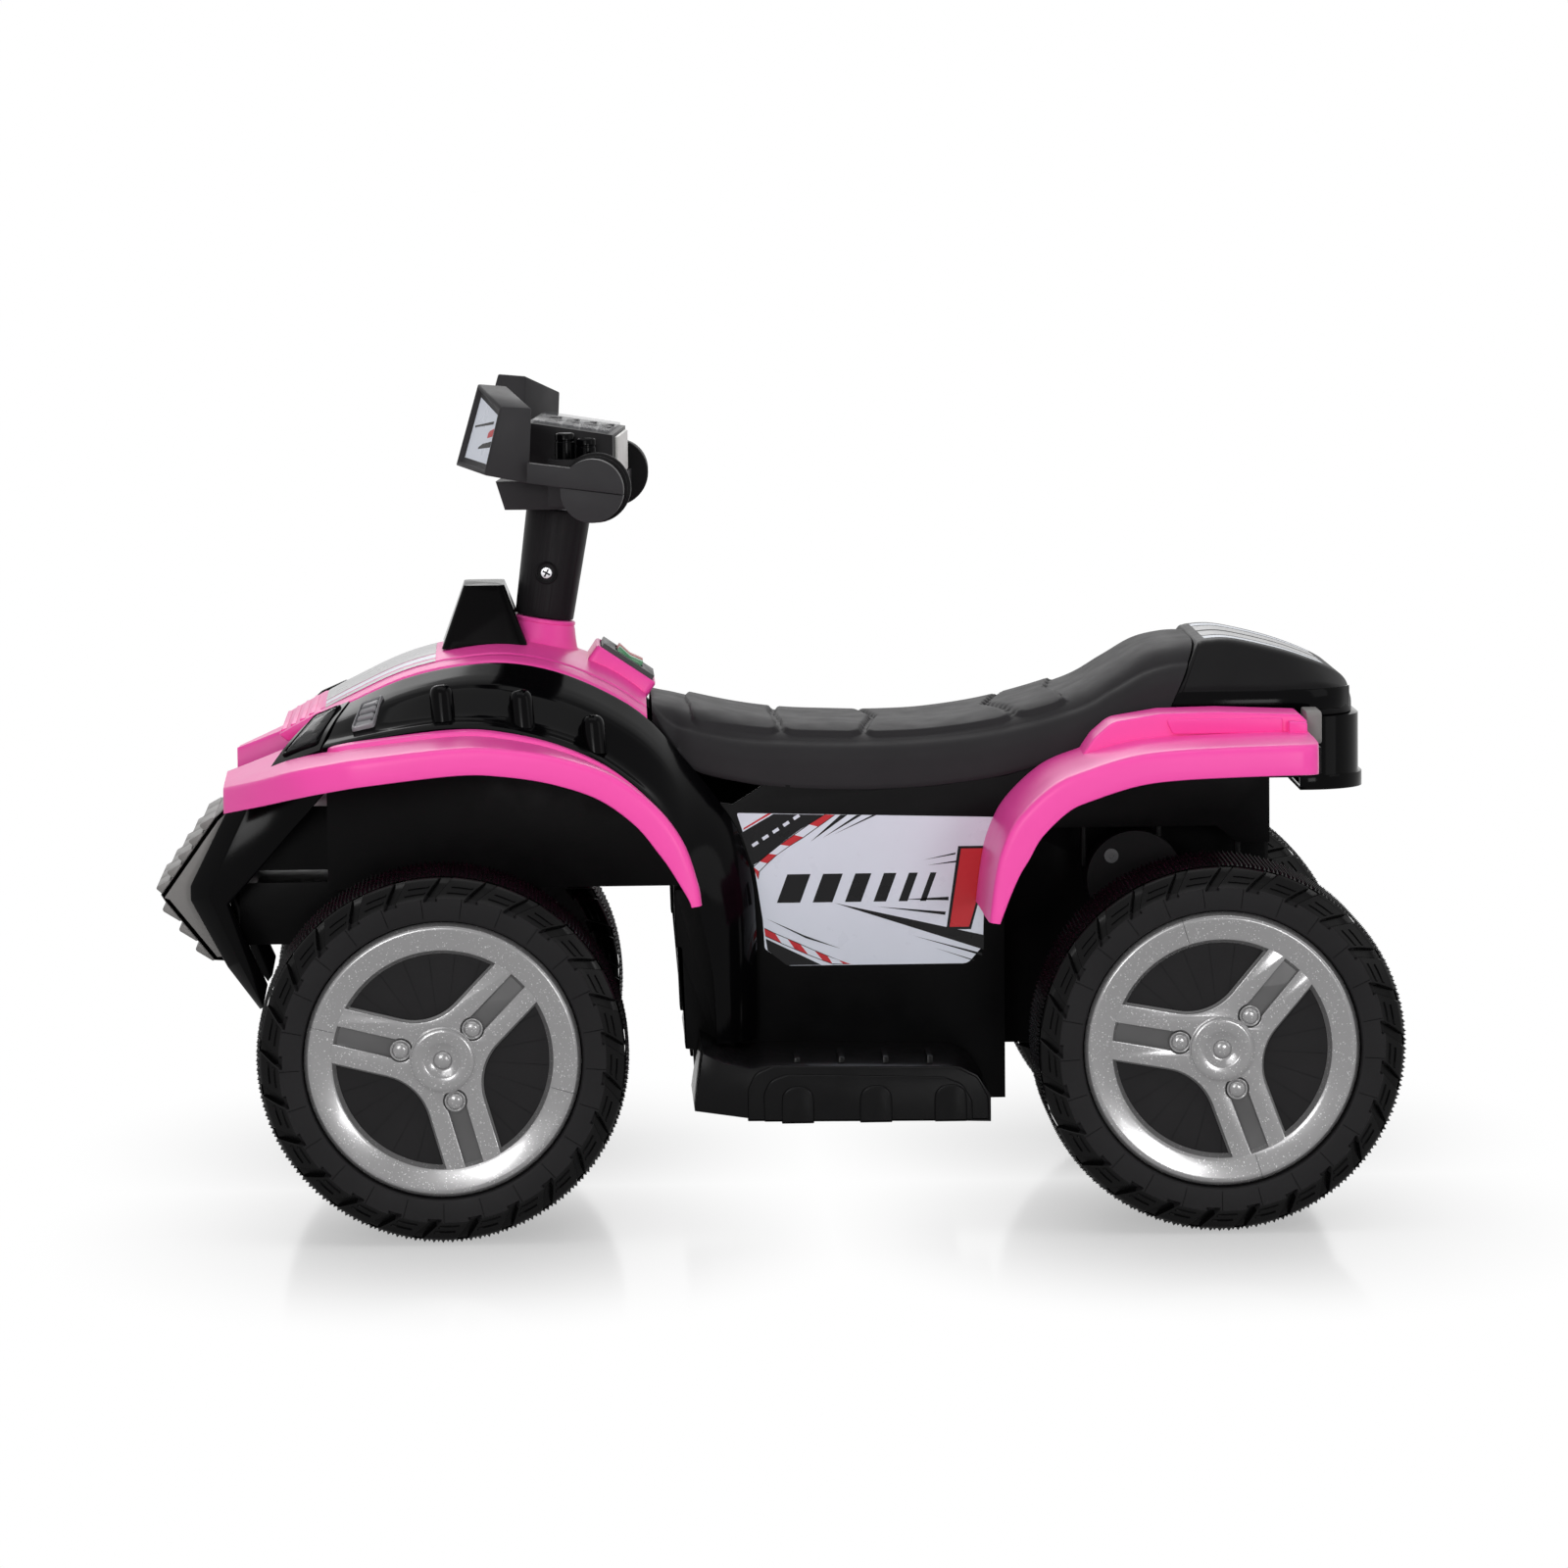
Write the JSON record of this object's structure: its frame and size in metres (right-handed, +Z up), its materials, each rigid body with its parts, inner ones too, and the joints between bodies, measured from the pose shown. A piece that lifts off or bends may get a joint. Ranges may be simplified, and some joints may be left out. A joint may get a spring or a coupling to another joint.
{
  "type": "kids quad bike",
  "caption": "Battery ride-on quad bike for small children, with pink mudguards, black body and seat, knobbly wheels, steered front wheels and a geared drive at one rear wheel.",
  "frame": {"origin": "on the ground under the middle of the bounding box", "axes": "+X forward, +Y to the rider's left, +Z up"},
  "size_m": [0.69, 0.412, 0.4632],
  "materials": {
    "pink_plastic": "gloss",
    "black_gloss": "gloss",
    "black_satin": "satin",
    "tyre_plastic": "matte",
    "silver_plastic": "metallic satin",
    "grey_plastic": "satin",
    "smoked_glass": "gloss",
    "clear_lens": "gloss",
    "white_plastic": "satin",
    "sticker": "gloss film",
    "steel": "zinc plated",
    "gear_plastic": "natural nylon",
    "battery_case": "matte",
    "red_plastic": "gloss",
    "green_plastic": "gloss"
  },
  "bodies": {
    "chassis": {"chassis_tub": "black_satin", "front_cowl": "pink_plastic", "front_bumper": "black_satin", "skid_plate": "grey_plastic", "intake_cover": "black_gloss", "seat": "black_satin", "tail_cover": "black_gloss", "rear_panel": "black_gloss", "switch_base": "grey_plastic", "battery": "battery_case", "motor": "steel", "gearbox_inner": "black_satin", "gearbox_outer": "black_satin", "front_axle_beam": "black_satin", "rear_axle": "steel", "case_screws": "steel", "left_front_fender": "pink_plastic", "left_front_shroud": "black_gloss", "left_headlight": "smoked_glass", "left_rear_fender": "pink_plastic", "left_tail_light": "grey_plastic", "left_footboard": "black_satin", "left_side_decal": "sticker", "right_front_fender": "pink_plastic", "right_front_shroud": "black_gloss", "right_headlight": "smoked_glass", "right_rear_fender": "pink_plastic", "right_tail_light": "grey_plastic", "right_footboard": "black_satin", "right_side_decal": "sticker"},
    "steering": {"steering_rod": "steel", "steering_column": "black_satin", "handlebar_lower": "black_satin", "handlebar_upper": "black_satin", "dash_lens": "clear_lens", "dash_panel": "white_plastic", "left_hand_guard": "black_satin", "right_hand_guard": "black_satin", "left_grip": "black_satin", "right_grip": "black_satin"},
    "horn_button": {"horn_button": "black_gloss"},
    "music_button": {"music_button": "black_gloss"},
    "tie_rod": {"tie_rod": "steel"},
    "left_knuckle": {"left_knuckle": "steel"},
    "right_knuckle": {"right_knuckle": "steel"},
    "accelerator_pedal": {"accelerator_pedal": "black_satin"},
    "power_rocker": {"power_rocker": "red_plastic"},
    "direction_rocker": {"direction_rocker": "green_plastic"},
    "motor_pinion": {"motor_pinion": "gear_plastic"},
    "idler_gear": {"idler_gear": "gear_plastic"},
    "left_front_wheel": {"left_front_tyre": "tyre_plastic", "left_front_wheel_cover": "silver_plastic"},
    "left_rear_wheel": {"left_rear_tyre": "tyre_plastic", "left_rear_wheel_cover": "silver_plastic", "output_gear": "gear_plastic"},
    "right_front_wheel": {"right_front_tyre": "tyre_plastic", "right_front_wheel_cover": "silver_plastic"},
    "right_rear_wheel": {"right_rear_tyre": "tyre_plastic", "right_rear_wheel_cover": "silver_plastic"}
  },
  "joints": [
    {"name": "steer", "type": "hinge", "parent": "chassis", "child": "steering", "pos_m": [0.1238, 0, 0.327], "axis": [-0.1478, 0, 0.989], "range_deg": [-30, 30]},
    {"name": "tie_shift", "type": "slide", "parent": "chassis", "child": "tie_rod", "axis": [0, 1, 0], "range_m": [-0.0145, 0.0145]},
    {"name": "horn_press", "type": "slide", "parent": "steering", "child": "horn_button", "axis": [0.0004, 0.0103, -0.9999], "range_m": [0, 0.0025], "stiffness_N_per_m": 400, "springref_m": -0.002},
    {"name": "music_press", "type": "slide", "parent": "steering", "child": "music_button", "axis": [0.0004, 0.0103, -0.9999], "range_m": [0, 0.0025], "stiffness_N_per_m": 400, "springref_m": -0.002},
    {"name": "pedal_press", "type": "hinge", "parent": "chassis", "child": "accelerator_pedal", "pos_m": [-0.06904, 0, 0.09792], "axis": [0, 1, 0], "range_deg": [0, 8], "stiffness_Nm_per_rad": 1.2, "springref_deg": -8.59},
    {"name": "power_rock", "type": "hinge", "parent": "chassis", "child": "power_rocker", "pos_m": [0.07792, -0.009, 0.30106], "axis": [0, 1, 0], "range_deg": [-8, 8]},
    {"name": "direction_rock", "type": "hinge", "parent": "chassis", "child": "direction_rocker", "pos_m": [0.07792, 0.009, 0.30106], "axis": [0, 1, 0], "range_deg": [-8, 8]},
    {"name": "pinion_spin", "type": "hinge", "parent": "chassis", "child": "motor_pinion", "pos_m": [-0.204, 0.0745, 0.184], "axis": [0, 1, 0], "continuous": true},
    {"name": "idler_spin", "type": "hinge", "parent": "chassis", "child": "idler_gear", "pos_m": [-0.21392, 0.08, 0.14267], "axis": [0, 1, 0], "continuous": true},
    {"name": "left_knuckle_turn", "type": "hinge", "parent": "chassis", "child": "left_knuckle", "pos_m": [0.182, 0.11, 0.102], "axis": [0, 0, 1], "range_deg": [-24.5, 24.5]},
    {"name": "left_front_spin", "type": "hinge", "parent": "left_knuckle", "child": "left_front_wheel", "pos_m": [0.182, 0.165, 0.102], "axis": [0, 1, 0], "continuous": true},
    {"name": "left_rear_spin", "type": "hinge", "parent": "chassis", "child": "left_rear_wheel", "pos_m": [-0.243, 0.165, 0.102], "axis": [0, 1, 0], "continuous": true},
    {"name": "right_knuckle_turn", "type": "hinge", "parent": "chassis", "child": "right_knuckle", "pos_m": [0.182, -0.11, 0.102], "axis": [0, 0, 1], "range_deg": [-24.5, 24.5]},
    {"name": "right_front_spin", "type": "hinge", "parent": "right_knuckle", "child": "right_front_wheel", "pos_m": [0.182, -0.165, 0.102], "axis": [0, 1, 0], "continuous": true},
    {"name": "right_rear_spin", "type": "hinge", "parent": "chassis", "child": "right_rear_wheel", "pos_m": [-0.243, -0.165, 0.102], "axis": [0, 1, 0], "continuous": true}
  ],
  "couplings": [
    {"joint": "tie_shift", "follows": "steer", "m_per_rad": -0.027},
    {"joint": "left_knuckle_turn", "follows": "steer", "ratio": 0.8},
    {"joint": "right_knuckle_turn", "follows": "steer", "ratio": 0.8},
    {"joint": "idler_spin", "follows": "left_rear_spin", "ratio": -4.7143},
    {"joint": "pinion_spin", "follows": "left_rear_spin", "ratio": 18.184}
  ]
}
